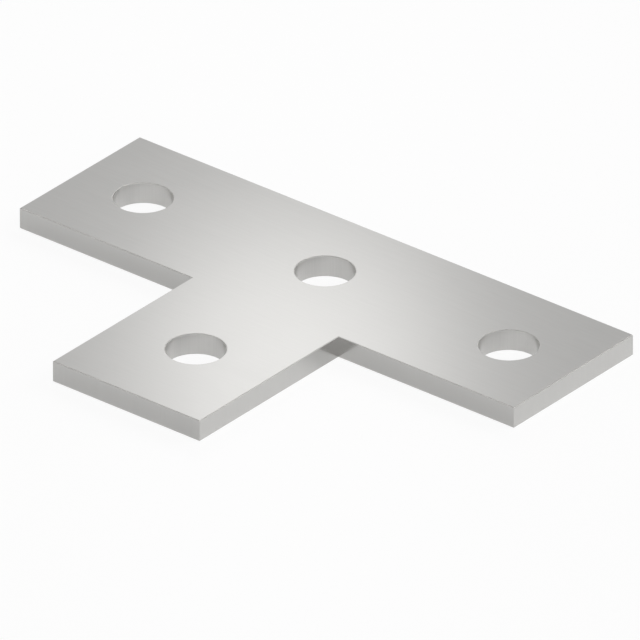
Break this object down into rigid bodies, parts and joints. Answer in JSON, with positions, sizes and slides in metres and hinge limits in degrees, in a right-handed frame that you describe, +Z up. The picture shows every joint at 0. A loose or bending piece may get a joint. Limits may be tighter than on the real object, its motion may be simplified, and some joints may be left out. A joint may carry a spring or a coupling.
{
  "type": "t plate bracket",
  "caption": "Flat steel T-shaped plate bracket with bolt holes along the bar and in the stem.",
  "frame": {"origin": "on the axis of the centre hole, at the plate's underside", "axes": "+X along the bar of the T, +Y away from the stem, +Z up out of the upper face"},
  "size_m": [0.135, 0.086, 0.005],
  "materials": {
    "steel": "satin bright zinc-plated steel"
  },
  "bodies": {
    "root": {"tee_plate": "steel"}
  },
  "joints": []
}
